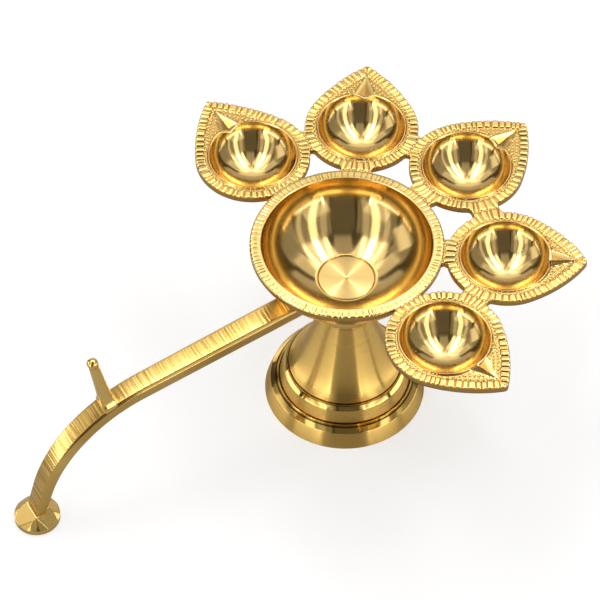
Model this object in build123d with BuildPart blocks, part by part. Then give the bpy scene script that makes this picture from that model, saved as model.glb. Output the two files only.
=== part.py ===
# Brass aarti lamp. A turned pedestal carries a bowl, five leaf-shaped wick cups
# fan out from the bowl's rim, and a flat bar handle with a thumb peg runs back
# from under the bowl and comes down to its own foot on the table.
# Millimetres. Z is up, the origin is the middle of the pedestal's underside and
# the handle lies along -X.

import os
from math import acos, asin, atan2, cos, degrees, radians, sin

from build123d import *

# Whole lamp
lamp_height = 78.5

# Pedestal, turned and hollow below
base_radius = 28.4
base_wall_radius = 26.4
base_wall_height = 6.0
ledge_radius = 23.5
ledge_height = 7.8
step_groove = 0.5
step_radius = 22.0
step_height = 13.0
flare_radius = 19.9
flare_height = 15.3
pedestal_top_radius = 8.4
flare_start_radius = 14.6
flare_start_height = 24.0
pedestal_wall = 3.0
bore_length = 16.2
hollow_top_radius = 6.0

# Seat between pedestal and bowl
washer_thickness = 0.8
washer_radius = 9.0

# Centre stud: flush head in the bowl's floor, threaded shank in the pedestal
stud_radius = 4.0
stud_clearance = 0.05
stud_head_radius = 9.7
stud_head_thickness = 2.0
stud_head_clearance = 0.15
thread_engagement = 13.0

# Bowl
rim_radius = 33.0
rim_thickness = 2.6
mouth_radius = 29.1
bowl_height = 35.5
bowl_inside_depth = 18.5
bowl_floor_land = 0.6
bowl_wall = 2.2
collar_radius = 10.4
collar_bulge = 0.8
collar_length = 5.0
bowl_neck_radius = 8.8
bowl_neck_blend = 5.5

# Leaf cups, set round the bowl by hand: angle about the bowl, distance of the
# cup from the lamp's axis, bearing of the leaf's tip and its reach from the cup
leaf_settings = (
    (100.4, 51.4, 94.5, 30.4),
    (55.6, 53.8, 56.6, 29.4),
    (11.8, 54.5, 14.0, 29.2),
    (-34.7, 53.7, -32.8, 27.9),
    (-80.6, 52.1, -74.5, 28.8),
)
leaf_radius = 19.9
leaf_shoulder = 62.0
leaf_tip_rounding = 1.2
leaf_thickness = 2.8
bowl_lug_width = 9.0
neighbour_lug_width = 8.5
lug_overlap = 1.0
cup_radius = 15.1
cup_depth = 10.0
cup_floor_curve = 18.0
cup_turn = 40.0
cup_wall = 1.8
wick_channel_reach = 25.0
wick_channel_inset = 2.0
wick_channel_width = 9.5
wick_channel_depth = 1.4
wick_cutter_rise = 1.0

# Brazed seams
braze_seam = 0.3

# Handle bar, in a plane through the lamp's axis
handle_start_reach = 9.5
handle_start_drop = 0.5
handle_slope = 9.0
handle_bend_reach = 109.6
handle_bend_radius = 48.0
handle_leg_lean = 17.0
handle_root_width = 9.2
handle_leg_width = 7.6
handle_root_thickness = 4.6
handle_bend_thickness = 4.6
handle_leg_thickness = 3.6
handle_bevel = 0.9

# Foot under the end of the handle
foot_radius = 7.9
foot_wall_height = 2.3
foot_height = 5.6
foot_top_radius = 4.6
foot_spigot_radius = 1.4
foot_spigot_length = 3.2

# Thumb peg
peg_reach = 92.1
peg_lean = 10.0
peg_height = 25.4
peg_base_length = 5.6
peg_base_width = 7.9
peg_base_height = 0.6
peg_flare_length = 4.7
peg_flare_width = 5.0
peg_flare_height = 3.0
peg_shank_length = 4.3
peg_shank_width = 3.6
peg_shank_height = 6.8
peg_neck_length = 3.4
peg_neck_width = 2.8
peg_edge_rounding = 0.5
peg_ball_radius = 1.9
peg_spigot_radius = 1.4
peg_spigot_length = 2.6

# Spigots slip into their holes before they are brazed
spigot_clearance = 0.05
spigot_end_gap = 0.2

os.makedirs("parts", exist_ok=True)


# Pedestal: a stepped foot, a small groove at each step, and a flare that runs
# up into a straight cone. The hollow below leaves a ring to stand on, and the
# stud's tapped bore comes down into it.
collar_height = lamp_height - bowl_height
pedestal_height = collar_height - washer_thickness
hollow_height = pedestal_height - bore_length
cone_slope = (flare_start_radius - pedestal_top_radius, flare_start_height - pedestal_height)

with BuildPart() as pedestal:
    with BuildSketch(Plane.XZ):
        with BuildLine():
            TangentArc(
                (flare_start_radius, flare_start_height),
                (flare_radius, flare_height),
                tangent=cone_slope,
            )
            Polyline(
                (flare_radius, flare_height),
                (flare_radius, flare_height - step_groove),
                (flare_radius + step_groove, flare_height - step_groove),
                (step_radius, step_height),
                (ledge_radius - step_groove, ledge_height - step_groove),
                (ledge_radius, ledge_height),
                (base_wall_radius, base_wall_height),
                (base_radius, 0),
                (0, 0),
                (0, pedestal_height),
                (pedestal_top_radius, pedestal_height),
                (flare_start_radius, flare_start_height),
            )
        make_face()
    revolve(axis=Axis.Z)
    with BuildSketch(Plane.XZ):
        with BuildLine():
            Polyline(
                (0, 0),
                (base_radius - pedestal_wall, 0),
                (ledge_radius - pedestal_wall, ledge_height - pedestal_wall),
                (step_radius - pedestal_wall, step_height - pedestal_wall),
                (flare_radius - 2 * pedestal_wall, flare_height),
                (hollow_top_radius, hollow_height),
                (0, hollow_height),
                close=True,
            )
        make_face()
    revolve(axis=Axis.Z, mode=Mode.SUBTRACT)
    with Locations((0, 0, pedestal_height)):
        Hole(stud_radius + stud_clearance, depth=bore_length)

pedestal.part.label = "pedestal"
export_step(pedestal.part, "parts/pedestal.step")


# Seat washer: a thin ring that lies loose between the pedestal and the collar.
with BuildPart() as seat_washer:
    with BuildSketch(Plane.XY.offset(pedestal_height)):
        Circle(washer_radius)
        Circle(stud_radius + stud_clearance, mode=Mode.SUBTRACT)
    extrude(amount=washer_thickness)

seat_washer.part.label = "seat_washer"
export_step(seat_washer.part, "parts/seat_washer.step")


# Bowl: the inside is part of an ellipse from the upright mouth down to the flat
# floor, and the outside is that ellipse grown by the wall, between the rim's
# underside and the neck.
bowl_floor_radius = stud_head_radius + stud_head_clearance + bowl_floor_land
floor_angle = degrees(acos(bowl_floor_radius / mouth_radius))
bowl_depth = bowl_inside_depth / sin(radians(floor_angle))
bowl_floor_height = lamp_height - bowl_inside_depth


def bowl_outside(gap):
    """Half section of the bowl's outside, full to the axis and grown by a gap."""
    shell_radius = mouth_radius + bowl_wall + gap
    shell_depth = bowl_depth + bowl_wall + gap
    rim_under = lamp_height - rim_thickness - gap
    rim_angle = degrees(asin((rim_thickness + gap) / shell_depth))
    neck = bowl_neck_radius + gap
    blend_radius = neck + bowl_neck_blend
    blend_angle = degrees(acos(blend_radius / shell_radius))
    collar_edge = collar_radius - collar_bulge + gap
    collar_top = collar_height + collar_length
    with BuildSketch(Plane.XZ) as half_section:
        with BuildLine():
            shell = EllipticalCenterArc(
                (0, lamp_height),
                shell_radius,
                shell_depth,
                start_angle=-blend_angle,
                arc_size=blend_angle - rim_angle,
            )
            blend_height = (shell @ 0).Y
            Polyline(
                shell @ 1,
                (rim_radius + gap, rim_under),
                (rim_radius + gap, lamp_height),
                (0, lamp_height),
                (0, collar_height),
                (collar_edge, collar_height),
            )
            ThreePointArc(
                (collar_edge, collar_height),
                (collar_radius + gap, collar_height + collar_length / 2),
                (collar_edge, collar_top),
            )
            Polyline(
                (collar_edge, collar_top),
                (neck, collar_top),
                (neck, blend_height - bowl_neck_blend),
            )
            TangentArc(
                (neck, blend_height - bowl_neck_blend),
                shell @ 0,
                tangent=(0, 1),
            )
        make_face()
    return half_section.sketch


with BuildPart() as bowl:
    revolve(bowl_outside(0), axis=Axis.Z)
    with BuildSketch(Plane.XZ):
        with BuildLine():
            inside = EllipticalCenterArc(
                (0, lamp_height),
                mouth_radius,
                bowl_depth,
                start_angle=-floor_angle,
                arc_size=floor_angle,
            )
            Polyline(
                inside @ 1,
                (0, lamp_height),
                (0, bowl_floor_height),
                inside @ 0,
            )
        make_face()
    revolve(axis=Axis.Z, mode=Mode.SUBTRACT)
    with Locations((0, 0, bowl_floor_height)):
        CounterBoreHole(
            radius=stud_radius + stud_clearance,
            counter_bore_radius=stud_head_radius + stud_head_clearance,
            counter_bore_depth=stud_head_thickness,
            depth=bowl_floor_height - collar_height,
        )

bowl.part.label = "bowl"
export_step(bowl.part, "parts/bowl.step")


# Centre stud: the disc head closes the bowl's floor and the shank passes
# through the neck and the washer into the pedestal.
stud_head_under = bowl_floor_height - stud_head_thickness
stud_end = pedestal_height - thread_engagement

with BuildPart() as centre_stud:
    with BuildSketch(Plane.XY.offset(stud_head_under)):
        Circle(stud_head_radius)
    extrude(amount=stud_head_thickness)
    with BuildSketch(Plane.XY.offset(stud_end)):
        Circle(stud_radius)
    extrude(amount=stud_head_under - stud_end)

centre_stud.part.label = "centre_stud"
export_step(centre_stud.part, "parts/centre_stud.step")


# Leaf cups: a flat leaf-shaped plate with a dished cup in it and a shallow
# V-shaped channel from the cup towards the tip, where the wick lies. Each leaf
# is filed to fit the bowl's rim and its neighbours, a braze seam away.
leaf_count = len(leaf_settings)
leaf_under = lamp_height - leaf_thickness
cup_turn_reach = cup_floor_curve * sin(radians(cup_turn))
cup_turn_rise = cup_floor_curve * (1 - cos(radians(cup_turn)))
mouth_slope = 2 * degrees(atan2(cup_depth - cup_turn_rise, cup_radius - cup_turn_reach)) - cup_turn
cup_wall_curve = (cup_radius - cup_turn_reach) / (sin(radians(mouth_slope)) - sin(radians(cup_turn)))
curve_gap = cup_floor_curve - cup_wall_curve
floor_centre_height = lamp_height - cup_depth + cup_floor_curve
wall_centre_reach = curve_gap * sin(radians(cup_turn))
wall_centre_height = floor_centre_height - curve_gap * cos(radians(cup_turn))
mouth_angle = 90 - mouth_slope
shell_edge_angle = degrees(asin((wall_centre_height - leaf_under) / (cup_wall_curve + cup_wall)))
channel_start = cup_radius - wick_channel_inset
cutter_scale = 1 + wick_cutter_rise / wick_channel_depth


def leaf_plane(index):
    """Plane on the table under a leaf's cup, with X towards the leaf's tip."""
    angle, reach, bearing, tip_reach = leaf_settings[index]
    return Plane(
        origin=(reach * cos(radians(angle)), reach * sin(radians(angle)), 0),
        x_dir=(cos(radians(bearing)), sin(radians(bearing)), 0),
        z_dir=(0, 0, 1),
    )


def leaf_lugs(index):
    """Turn, length and width of the lugs from a cup to the bowl and its neighbours."""
    angle, reach, bearing, tip_reach = leaf_settings[index]
    plane = leaf_plane(index)
    lugs = [(angle + 180 - bearing, reach - rim_radius + lug_overlap, bowl_lug_width)]
    for neighbour in (index - 1, index + 1):
        if 0 <= neighbour < leaf_count:
            there = plane.to_local_coords(leaf_plane(neighbour).origin)
            turn = degrees(atan2(there.Y, there.X))
            lugs.append((turn, there.length / 2 + lug_overlap, neighbour_lug_width))
    return lugs


def leaf_outline(index):
    """A circle drawn out to a rounded tip by two tangent arcs, with lugs, at the leaf's underside."""
    tip_point = (leaf_settings[index][3], 0)
    shoulder_cos = cos(radians(leaf_shoulder))
    shoulder_sin = sin(radians(leaf_shoulder))
    shoulder_x = leaf_radius * shoulder_cos
    shoulder_y = leaf_radius * shoulder_sin
    with BuildSketch(leaf_plane(index).offset(leaf_under)) as outline:
        with BuildLine():
            ThreePointArc((shoulder_x, shoulder_y), (-leaf_radius, 0), (shoulder_x, -shoulder_y))
            TangentArc((shoulder_x, -shoulder_y), tip_point, tangent=(shoulder_sin, shoulder_cos))
            TangentArc((shoulder_x, shoulder_y), tip_point, tangent=(shoulder_sin, -shoulder_cos))
        make_face()
        tip = outline.vertices().sort_by(Axis.X)[-1]
        fillet(tip, leaf_tip_rounding)
        for turn, length, width in leaf_lugs(index):
            with Locations(Location((0, 0, 0), (0, 0, turn))):
                Rectangle(length, width, align=(Align.MIN, Align.CENTER))
    return outline.sketch


def seam_plane(index):
    """Plane midway between a leaf and the next one, facing the next one."""
    here = leaf_plane(index).origin
    there = leaf_plane(index + 1).origin
    return Plane(origin=(here + there) * 0.5, z_dir=there - here)


def cup_half(plane, growth, edge_angle):
    """Half section of a dish about a leaf's cup: a floor arc tangent to a wall arc."""
    section = Plane(origin=plane.origin, x_dir=plane.x_dir, z_dir=-plane.y_dir)
    with BuildSketch(section) as half_section:
        with BuildLine():
            floor = CenterArc(
                (0, floor_centre_height),
                cup_floor_curve + growth,
                start_angle=-90,
                arc_size=cup_turn,
            )
            wall = CenterArc(
                (wall_centre_reach, wall_centre_height),
                cup_wall_curve + growth,
                start_angle=cup_turn - 90,
                arc_size=90 - cup_turn - edge_angle,
            )
            Polyline(wall @ 1, (0, (wall @ 1).Y), floor @ 0)
        make_face()
    return half_section.sketch


for index in range(leaf_count):
    plane = leaf_plane(index)
    cup_axis = Axis(plane.origin, (0, 0, 1))
    channel_plane = Plane(
        origin=plane.origin + plane.x_dir * channel_start + Vector(0, 0, lamp_height),
        x_dir=plane.y_dir,
        z_dir=plane.x_dir,
    )
    cutter_half_width = wick_channel_width / 2 * cutter_scale
    cutter_length = (wick_channel_reach - channel_start) * cutter_scale
    cutter_point = channel_plane.from_local_coords((0, wick_cutter_rise, cutter_length))
    name = f"leaf_cup_{index + 1}"
    with BuildPart() as leaf_cup:
        extrude(leaf_outline(index), amount=leaf_thickness)
        if index > 0:
            split(bisect_by=seam_plane(index - 1).offset(braze_seam / 2), keep=Keep.TOP)
        if index < leaf_count - 1:
            split(bisect_by=seam_plane(index).offset(-braze_seam / 2), keep=Keep.BOTTOM)
        with BuildSketch(Plane.XY.offset(leaf_under)):
            Circle(rim_radius + braze_seam)
        extrude(amount=leaf_thickness, mode=Mode.SUBTRACT)
        with BuildSketch(channel_plane, mode=Mode.PRIVATE) as channel:
            with BuildLine():
                Polyline(
                    (-cutter_half_width, wick_cutter_rise),
                    (cutter_half_width, wick_cutter_rise),
                    (0, -wick_channel_depth),
                    close=True,
                )
            make_face()
        loft(sections=[channel.sketch, Vertex(*cutter_point)], mode=Mode.SUBTRACT)
        revolve(cup_half(plane, cup_wall, shell_edge_angle), axis=cup_axis)
        revolve(cup_half(plane, 0, mouth_angle), axis=cup_axis, mode=Mode.SUBTRACT)
    leaf_cup.part.label = name
    export_step(leaf_cup.part, f"parts/{name}.step")


# Braze along the bowl's rim: one thin strip for each leaf.
with BuildPart() as bowl_braze:
    for index in range(leaf_count):
        with BuildSketch(Plane.XY.offset(leaf_under)):
            add(leaf_outline(index))
            Circle(rim_radius + braze_seam, mode=Mode.INTERSECT)
            Circle(rim_radius, mode=Mode.SUBTRACT)
        extrude(amount=leaf_thickness)

bowl_braze.part.label = "bowl_braze_joints"
export_step(bowl_braze.part, "parts/bowl_braze_joints.step")


# Braze between neighbouring leaves: one flat strip where two outlines cross.
with BuildPart() as leaf_braze:
    for index in range(leaf_count - 1):
        seam = seam_plane(index)
        with BuildSketch(Plane.XY.offset(leaf_under)) as strip:
            add(leaf_outline(index))
            add(leaf_outline(index + 1), mode=Mode.INTERSECT)
            split(bisect_by=seam.offset(-braze_seam / 2), keep=Keep.TOP)
            split(bisect_by=seam.offset(braze_seam / 2), keep=Keep.BOTTOM)
        extrude(amount=leaf_thickness)

leaf_braze.part.label = "leaf_braze_joints"
export_step(leaf_braze.part, "parts/leaf_braze_joints.step")


# Handle bar: a flat bar that slopes down from under the bowl, bends, and comes
# down as a leg. Both the thickness and the width taper towards the foot.
along = Vector(-cos(radians(handle_slope)), -sin(radians(handle_slope)))
above = Vector(along.Y, -along.X)
down_leg = Vector(-sin(radians(handle_leg_lean)), -cos(radians(handle_leg_lean)))
off_leg = Vector(down_leg.Y, -down_leg.X)
bar_start = Vector(-handle_start_reach, bowl_floor_height - handle_start_drop)
bend_run = (handle_bend_reach - handle_start_reach) / cos(radians(handle_slope))
bend_corner = bar_start + along * bend_run
bend_offset = (above + off_leg) * (handle_bend_thickness / 2 / (1 + above.dot(off_leg)))
leg_run = (bend_corner.Y - foot_height) / cos(radians(handle_leg_lean))
leg_end = bend_corner + down_leg * leg_run
leg_offset = Vector(-handle_leg_thickness / 2 / cos(radians(handle_leg_lean)), 0)
start_offset = above * (handle_root_thickness / 2)
foot_reach = -leg_end.X


# The bevelled bar before its root is fitted to the bowl.
with BuildPart() as bar_blank:
    with BuildSketch(Plane.XZ):
        with BuildLine():
            FilletPolyline(
                bar_start + start_offset,
                bend_corner + bend_offset,
                leg_end + leg_offset,
                radius=handle_bend_radius + handle_bend_thickness / 2,
            )
            FilletPolyline(
                bar_start - start_offset,
                bend_corner - bend_offset,
                leg_end - leg_offset,
                radius=handle_bend_radius - handle_bend_thickness / 2,
            )
            Line(bar_start + start_offset, bar_start - start_offset)
            Line(leg_end + leg_offset, leg_end - leg_offset)
        make_face()
    extrude(amount=handle_root_width / 2, both=True)
    tail = foot_reach + handle_leg_thickness
    with BuildSketch(Plane.XY):
        with BuildLine():
            Polyline(
                (0, handle_root_width / 2),
                (-tail, handle_leg_width / 2),
                (-tail, -handle_leg_width / 2),
                (0, -handle_root_width / 2),
                close=True,
            )
        make_face()
    extrude(amount=lamp_height, mode=Mode.INTERSECT)
    outward = Vector(bend_offset.X, 0, bend_offset.Y).normalized()
    top_faces = bar_blank.faces().filter_by(lambda face: face.normal_at().dot(outward) > 0.5)
    top_edges = top_faces.edges().filter_by(lambda edge: abs(edge.center().Y) > handle_leg_width / 4)
    chamfer(top_edges, handle_bevel)

# Peg axis: it stands on the bar's upper face and leans out from the bowl.
plumb = Axis((-peg_reach, 0, lamp_height), (0, 0, -1))
bar_top = max(point.Z for point, normal in bar_blank.part.find_intersection_points(plumb))
peg_plane = Plane(
    origin=(-peg_reach, 0, bar_top),
    x_dir=(cos(radians(peg_lean)), 0, sin(radians(peg_lean))),
    z_dir=(-sin(radians(peg_lean)), 0, cos(radians(peg_lean))),
)

with BuildPart() as handle_bar:
    add(bar_blank.part)
    revolve(bowl_outside(braze_seam), axis=Axis.Z, mode=Mode.SUBTRACT)
    with Locations(peg_plane):
        Hole(
            peg_spigot_radius + spigot_clearance,
            depth=peg_spigot_length + spigot_end_gap,
        )
    with BuildSketch(Plane.XY.offset(foot_height - foot_spigot_length)):
        with Locations((-foot_reach, 0)):
            Circle(foot_spigot_radius)
    extrude(amount=foot_spigot_length)

handle_bar.part.label = "handle_bar"
export_step(handle_bar.part, "parts/handle_bar.step")


# Braze between the handle's root and the bowl's underside.
with BuildPart() as handle_braze:
    add(bar_blank.part)
    revolve(bowl_outside(braze_seam), axis=Axis.Z, mode=Mode.INTERSECT)
    revolve(bowl_outside(0), axis=Axis.Z, mode=Mode.SUBTRACT)

handle_braze.part.label = "handle_braze"
export_step(handle_braze.part, "parts/handle_braze.step")


# Thumb peg: a square shank with a base filed to saddle the bar and a round end.
ball_height = peg_height - peg_ball_radius
peg_sections = (
    (-peg_base_length / 2, peg_base_length, peg_base_width),
    (peg_base_height, peg_base_length, peg_base_width),
    (peg_flare_height, peg_flare_length, peg_flare_width),
    (peg_shank_height, peg_shank_length, peg_shank_width),
    (ball_height, peg_neck_length, peg_neck_width),
)

with BuildPart() as thumb_peg:
    for height, length, width in peg_sections:
        with BuildSketch(peg_plane.offset(height)):
            RectangleRounded(length, width, peg_edge_rounding)
    loft(ruled=True)
    with Locations(peg_plane.offset(ball_height)):
        Sphere(peg_ball_radius)
    add(bar_blank.part, mode=Mode.SUBTRACT)
    with BuildSketch(peg_plane.offset(-peg_spigot_length)):
        Circle(peg_spigot_radius)
    extrude(amount=peg_spigot_length + peg_flare_height)

thumb_peg.part.label = "thumb_peg"
export_step(thumb_peg.part, "parts/thumb_peg.step")


# Handle foot: a low disc with a coned top, bored for the bar's spigot.
with BuildPart() as handle_foot:
    with BuildSketch(Plane(origin=(-foot_reach, 0, 0), x_dir=(1, 0, 0), z_dir=(0, -1, 0))):
        with BuildLine():
            Polyline(
                (0, 0),
                (foot_radius, 0),
                (foot_radius, foot_wall_height),
                (foot_top_radius, foot_height),
                (0, foot_height),
                close=True,
            )
        make_face()
    revolve(axis=Axis((-foot_reach, 0, 0), (0, 0, 1)))
    with Locations((-foot_reach, 0, foot_height)):
        Hole(
            foot_spigot_radius + spigot_clearance,
            depth=foot_spigot_length + spigot_end_gap,
        )

handle_foot.part.label = "handle_foot"
export_step(handle_foot.part, "parts/handle_foot.step")
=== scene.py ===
import bmesh
import bpy
import numpy as np
from mathutils import Matrix


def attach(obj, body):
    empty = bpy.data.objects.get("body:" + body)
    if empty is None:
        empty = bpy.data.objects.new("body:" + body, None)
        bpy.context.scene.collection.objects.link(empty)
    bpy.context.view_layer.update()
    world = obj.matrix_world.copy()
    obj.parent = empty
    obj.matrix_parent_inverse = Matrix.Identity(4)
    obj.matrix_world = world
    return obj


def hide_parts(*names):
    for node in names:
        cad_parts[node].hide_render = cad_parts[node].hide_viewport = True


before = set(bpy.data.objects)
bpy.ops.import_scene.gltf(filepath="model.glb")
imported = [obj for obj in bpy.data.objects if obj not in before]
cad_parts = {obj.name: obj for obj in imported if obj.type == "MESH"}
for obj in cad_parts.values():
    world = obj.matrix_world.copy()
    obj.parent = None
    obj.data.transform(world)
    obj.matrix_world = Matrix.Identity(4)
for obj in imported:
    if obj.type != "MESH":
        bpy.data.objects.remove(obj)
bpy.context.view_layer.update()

# Pedestal: the turned brass stand. It has a stepped foot with a groove at each
# step, a flare and a straight cone, is cut and polished on the lathe, and is
# hollow below, so that it stands on a ring.
MM = 0.001
LATHE_STEPS = 288
STUD_BORE = 4.05
STAND_GLOSS = 0.24
STAND_TONES = ((0.85, 0.545, 0.145), (0.95, 0.63, 0.185))


def rounded(points, radius, steps=4):
    """Closed profile with each corner replaced by an arc: the arc's ends lie on
    the two sides at the same distance from the corner, and a quadratic curve
    through them is pulled towards the corner."""
    points = np.asarray(points, float)
    before = np.roll(points, 1, axis=0) - points
    after = np.roll(points, -1, axis=0) - points
    length_before = np.linalg.norm(before, axis=1, keepdims=True)
    length_after = np.linalg.norm(after, axis=1, keepdims=True)
    reach = np.minimum(radius, 0.45 * np.minimum(length_before, length_after))
    start = points + before / length_before * reach
    end = points + after / length_after * reach
    t = np.linspace(0, 1, steps)[None, :, None]
    arcs = (1 - t) ** 2 * start[:, None] + 2 * t * (1 - t) * points[:, None] + t**2 * end[:, None]
    return arcs.reshape(-1, 2)


def curve_points(start, control, end, steps):
    """Quadratic curve from start to end, drawn towards a control point."""
    t = np.linspace(0, 1, steps)[:, None]
    return (1 - t) ** 2 * np.array(start) + 2 * t * (1 - t) * np.array(control) + t**2 * np.array(end)


def surface(name, points, close_u=True, close_v=True, sharp_deg=40):
    """Mesh over a grid of points in millimetres: each cell of four neighbours is
    a face, the grid may close on itself along either parameter, rows that fall
    together are merged into poles, and the faces are turned outwards."""
    count_u, count_v = points.shape[:2]
    index = np.arange(count_u * count_v).reshape(count_u, count_v)
    if close_u:
        index = np.concatenate([index, index[:1]], axis=0)
    if close_v:
        index = np.concatenate([index, index[:, :1]], axis=1)
    faces = np.stack([index[:-1, :-1], index[1:, :-1], index[1:, 1:], index[:-1, 1:]], axis=-1)
    mesh = bpy.data.meshes.new(name)
    mesh.from_pydata((points.reshape(-1, 3) * MM).tolist(), [], faces.reshape(-1, 4).tolist())
    work = bmesh.new()
    work.from_mesh(mesh)
    bmesh.ops.remove_doubles(work, verts=work.verts, dist=1e-7)
    bmesh.ops.dissolve_degenerate(work, edges=work.edges, dist=1e-8)
    bmesh.ops.recalc_face_normals(work, faces=work.faces)
    work.to_mesh(mesh)
    work.free()
    mesh.shade_smooth()
    mesh.set_sharp_from_angle(angle=np.radians(sharp_deg))
    piece = bpy.data.objects.new(name, mesh)
    bpy.context.scene.collection.objects.link(piece)
    return piece


def lathe(name, profile, centre=(0, 0), steps=LATHE_STEPS, sharp_deg=40):
    """Closed half profile (radius, height) carried round an upright axis: each
    point becomes a ring of that radius at that height."""
    turn = np.linspace(0, 2 * np.pi, steps, endpoint=False)[:, None]
    radius = profile[None, :, 0]
    x = centre[0] + radius * np.cos(turn)
    y = centre[1] + radius * np.sin(turn)
    z = np.broadcast_to(profile[None, :, 1], x.shape)
    return surface(name, np.stack([x, y, z], axis=-1), sharp_deg=sharp_deg)


class Field:
    """A value that changes over a surface: a node socket with arithmetic."""

    def __init__(self, shader, socket):
        self.shader = shader
        self.socket = socket

    def math(self, operation, first, second=0.0):
        return self.shader.node("Math", {"operation": operation}, {0: first, 1: second})

    def __add__(self, other):
        return self.math("ADD", self, other)

    def __radd__(self, other):
        return self.math("ADD", other, self)

    def __sub__(self, other):
        return self.math("SUBTRACT", self, other)

    def __rsub__(self, other):
        return self.math("SUBTRACT", other, self)

    def __mul__(self, other):
        return self.math("MULTIPLY", self, other)

    def __rmul__(self, other):
        return self.math("MULTIPLY", other, self)

    def __pow__(self, other):
        return self.math("POWER", self, other)


class Shader:
    """A material's nodes, made one at a time."""

    def __init__(self, name):
        self.material = bpy.data.materials.new(name)
        self.material.use_nodes = True
        self.nodes = self.material.node_tree.nodes
        self.links = self.material.node_tree.links
        self.nodes.clear()

    def node(self, kind, settings=None, inputs=None, output=0):
        """Adds a node, sets its settings, then fills or links its sockets."""
        made = self.nodes.new("ShaderNode" + kind)
        for key, value in (settings or {}).items():
            setattr(made, key, value)
        for key, value in (inputs or {}).items():
            if isinstance(value, Field):
                self.links.new(value.socket, made.inputs[key])
            else:
                made.inputs[key].default_value = value
        return Field(self, made.outputs[output]) if made.outputs else made

    def noise(self, place, scale, detail):
        """Smooth noise from 0 to 1, with a number of features in a metre."""
        return self.node("TexNoise", None, {"Vector": place, "Scale": scale, "Detail": detail})

    def mix(self, factor, first, second):
        """Colour between two others, the first at factor 0 and the second at 1."""
        return self.node(
            "Mix", {"data_type": "RGBA"}, {"Factor": factor, "A": first, "B": second}, "Result"
        )

    def brass(self, colour, roughness, normal, anisotropy=0.0, rotation=0.0):
        """Bare metal with a given colour, roughness and surface normal."""
        metal = self.node(
            "BsdfPrincipled",
            None,
            {
                "Base Color": colour,
                "Metallic": 1.0,
                "Roughness": roughness,
                "Normal": normal,
                "Anisotropic": anisotropy,
                "Anisotropic Rotation": rotation,
            },
        )
        self.node("OutputMaterial", None, {"Surface": metal})
        return self.material


def turned_brass(name, centre, gloss, line_depth, tones, painted_shade_heights=(), bright_heights=()):
    """Brass off the lathe: fine rings about the axis, from noise that depends only
    on the distance from the axis and the height, and a slow drift of tone. Each
    band of heights in the first list gets a painted shade, mixed most of the way
    to near black where a groove lies, and the bands at the bright heights are
    polished finer."""
    shader = Shader(name)
    place = shader.node("TexCoord", None, None, "Object")
    centred = shader.node(
        "VectorMath", {"operation": "SUBTRACT"}, {0: place, 1: (centre[0] * MM, centre[1] * MM, 0)}
    )
    x = shader.node("SeparateXYZ", None, {0: centred}, "X")
    y = shader.node("SeparateXYZ", None, {0: centred}, "Y")
    z = shader.node("SeparateXYZ", None, {0: centred}, "Z")
    radius = (x * x + y * y) ** 0.5
    ring_place = shader.node("CombineXYZ", None, {"X": radius, "Y": z})
    fine = shader.noise(ring_place, 3200.0, 1.0)
    broad = shader.noise(ring_place, 1100.0, 2.0)
    drift = shader.noise(place, 45.0, 2.0)
    height = fine * 0.6 + broad * 0.8
    normal = shader.node(
        "Bump", None, {"Height": height, "Strength": 1.0, "Distance": line_depth * MM}, "Normal"
    )
    tone = shader.mix(drift * 0.5 + broad * 0.5, (*tones[0], 1), (*tones[1], 1))
    roughness = gloss + broad * 0.07 + drift * 0.02
    # Painted shade: each band in this list is mixed most of the way to near black, where a groove lies.
    for low, high in painted_shade_heights:
        inside = z.math("GREATER_THAN", z, low * MM) * z.math("LESS_THAN", z, high * MM)
        tone = shader.mix(inside * 0.85, tone, (0.07, 0.03, 0.006, 1))
    for low, high in bright_heights:
        inside = z.math("GREATER_THAN", z, low * MM) * z.math("LESS_THAN", z, high * MM)
        roughness = roughness * (1.0 - 0.6 * inside)
    return shader.brass(tone, roughness, normal, anisotropy=1.0, rotation=0.25)


pedestal_profile = np.concatenate(
    [
        rounded([(STUD_BORE, 26.0), (STUD_BORE, 42.2), (8.4, 42.2)], 0.2)[4:],
        curve_points((14.6, 24.0), (16.9, 17.3), (19.7, 15.45), 24),
        rounded(
            [
                (19.9, 15.3),
                (19.75, 14.6),
                (20.25, 14.6),
                (20.55, 14.85),
                (22.0, 13.0),
                (22.95, 7.9),
                (22.85, 7.15),
                (23.35, 7.2),
                (23.6, 7.75),
                (26.4, 6.0),
                (28.4, 0.0),
                (25.4, 0.0),
                (20.5, 4.8),
                (19.0, 10.0),
                (13.9, 15.3),
                (6.0, 26.0),
            ],
            0.16,
        ),
        np.array([(STUD_BORE, 26.0)]),
    ]
)
pedestal = lathe("pedestal_turned", pedestal_profile)
pedestal_brass = turned_brass(
    "pedestal brass",
    centre=(0, 0),
    gloss=STAND_GLOSS,
    line_depth=0.022,
    tones=STAND_TONES,
    # Painted shade on the foot's two grooves.
    painted_shade_heights=((14.45, 14.72), (7.05, 7.4)),
    bright_heights=((12.9, 14.9), (5.95, 7.8)),
)
pedestal.data.materials.append(pedestal_brass)
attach(pedestal, "stand")
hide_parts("pedestal")

# Seat washer: a thin brass ring that lies loose between the pedestal's top and
# the bowl's collar. It keeps its solid and takes the turned finish.
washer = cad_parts["seat_washer"]
washer.data.materials.clear()
washer.data.materials.append(turned_brass("washer brass", (0, 0), STAND_GLOSS, 0.02, STAND_TONES))

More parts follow.
